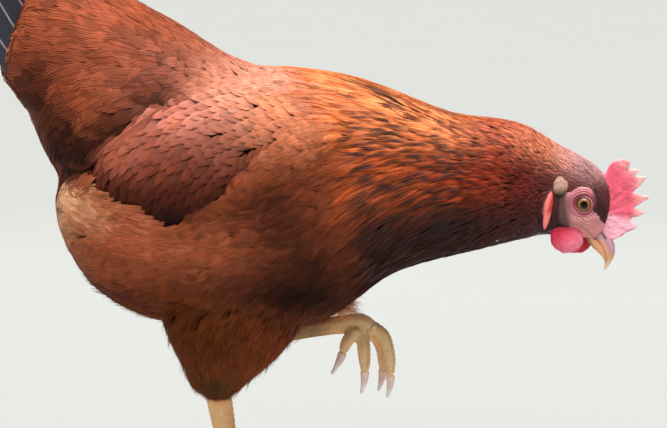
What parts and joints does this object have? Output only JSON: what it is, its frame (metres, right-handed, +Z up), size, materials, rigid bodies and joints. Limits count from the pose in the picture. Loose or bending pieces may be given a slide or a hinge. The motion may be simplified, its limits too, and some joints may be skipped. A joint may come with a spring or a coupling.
{
  "type": "hen",
  "caption": "Life-size standing hen, brown-red with a black tail, walking with its head low and one foot lifted.",
  "frame": {"origin": "on the floor, under the middle of the whole bird's box", "axes": "+X forward to the beak, +Y the hen's left side, +Z up"},
  "size_m": [0.4868, 0.1734, 0.444],
  "materials": {
    "body_feathers": "soft overlapping rust-brown feathers",
    "neck_hackle": "narrow glossy orange-red feathers, some with black middles",
    "wing_feathers": "small scale-like brown feathers with darker edges",
    "tail_feathers": "black feathers with a blue sheen and pale shafts",
    "face_skin": "bare pink-red skin with fine folds",
    "comb_skin": "fleshy, finely pebbled red skin",
    "ear_tuft": "short bristly tan feathers",
    "beak": "smooth horn, orange-yellow with a grey ridge",
    "eye": "wet amber iris round a black pupil",
    "leg_scales": "yellow-orange overlapping scales",
    "claws": "pale pinkish horn"
  },
  "bodies": {
    "root": {"trunk": "body_feathers", "neck": "neck_hackle", "rump": "body_feathers", "tail": "tail_feathers", "wing_right": "wing_feathers", "wing_left": "wing_feathers", "head": "face_skin", "comb": "comb_skin", "beak_upper": "beak", "beak_lower": "beak", "eye_right": "eye", "eye_left": "eye", "wattle_right": "comb_skin", "wattle_left": "comb_skin", "earlobe_right": "comb_skin", "earlobe_left": "comb_skin", "ear_right": "ear_tuft", "ear_left": "ear_tuft", "thigh_right": "body_feathers", "thigh_left": "body_feathers", "shank_right": "leg_scales", "shank_left": "leg_scales", "toe_right_1": "leg_scales", "toe_right_2": "leg_scales", "toe_right_3": "leg_scales", "toe_right_4": "leg_scales", "toe_left_1": "leg_scales", "toe_left_2": "leg_scales", "toe_left_3": "leg_scales", "toe_left_4": "leg_scales", "claw_right_1": "claws", "claw_right_2": "claws", "claw_right_3": "claws", "claw_right_4": "claws", "claw_left_1": "claws", "claw_left_2": "claws", "claw_left_3": "claws", "claw_left_4": "claws"}
  },
  "joints": []
}
